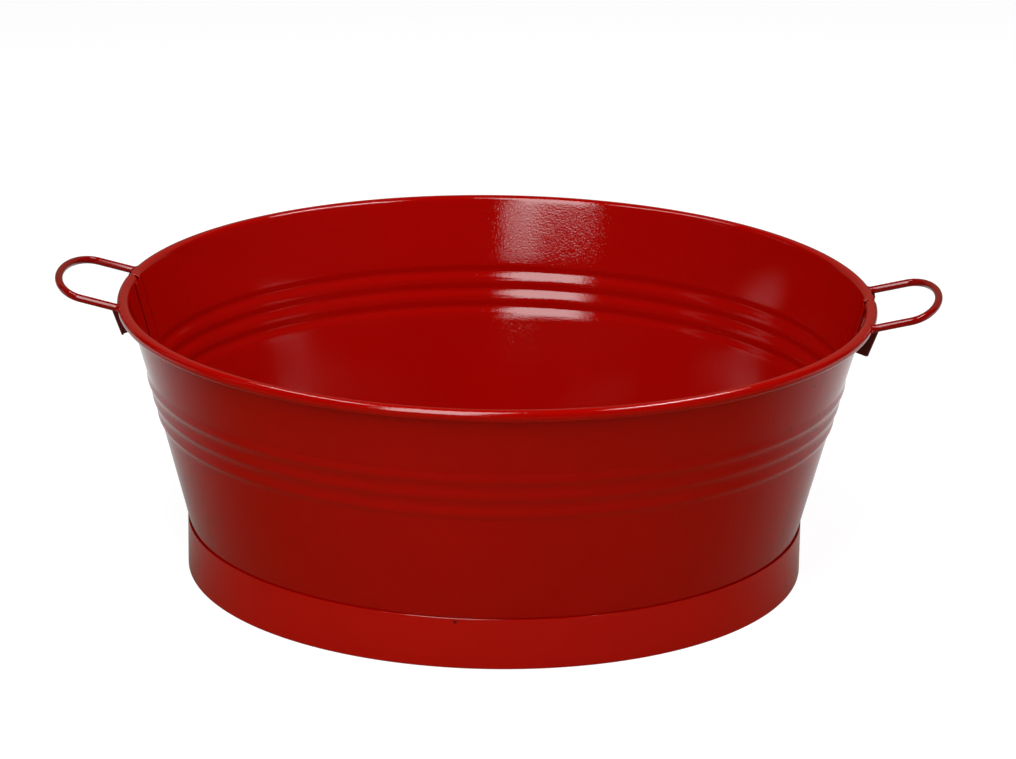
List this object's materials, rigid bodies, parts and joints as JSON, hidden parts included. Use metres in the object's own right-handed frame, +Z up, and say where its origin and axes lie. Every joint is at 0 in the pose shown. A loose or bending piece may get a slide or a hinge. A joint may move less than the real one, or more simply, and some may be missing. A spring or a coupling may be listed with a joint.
{
  "type": "champagne bucket",
  "caption": "Round, low, flared sheet-metal tub with a rolled rim, pressed ribs, a foot ring and fixed wire handles, for cooling bottles in ice.",
  "frame": {"origin": "middle of the foot ring's lower edge, on the surface that the tub stands on", "axes": "+Z up through the middle of the rim; +X through the middle of the right handle; +Y towards the back sheet of the wall"},
  "size_m": [0.514, 0.44, 0.1713],
  "materials": {
    "tub_paint": "glossy red enamel with a slight orange peel",
    "foot_paint": "glossy red enamel with a slight orange peel",
    "handle_paint": "glossy red enamel on wire",
    "bracket_paint": "thin red enamel, darker than the tub"
  },
  "bodies": {
    "root": {"front_wall": "tub_paint", "back_wall": "tub_paint", "base_disc": "tub_paint", "foot_ring": "foot_paint", "right_handle": "handle_paint", "left_handle": "handle_paint", "right_bracket": "bracket_paint", "left_bracket": "bracket_paint"}
  },
  "joints": []
}
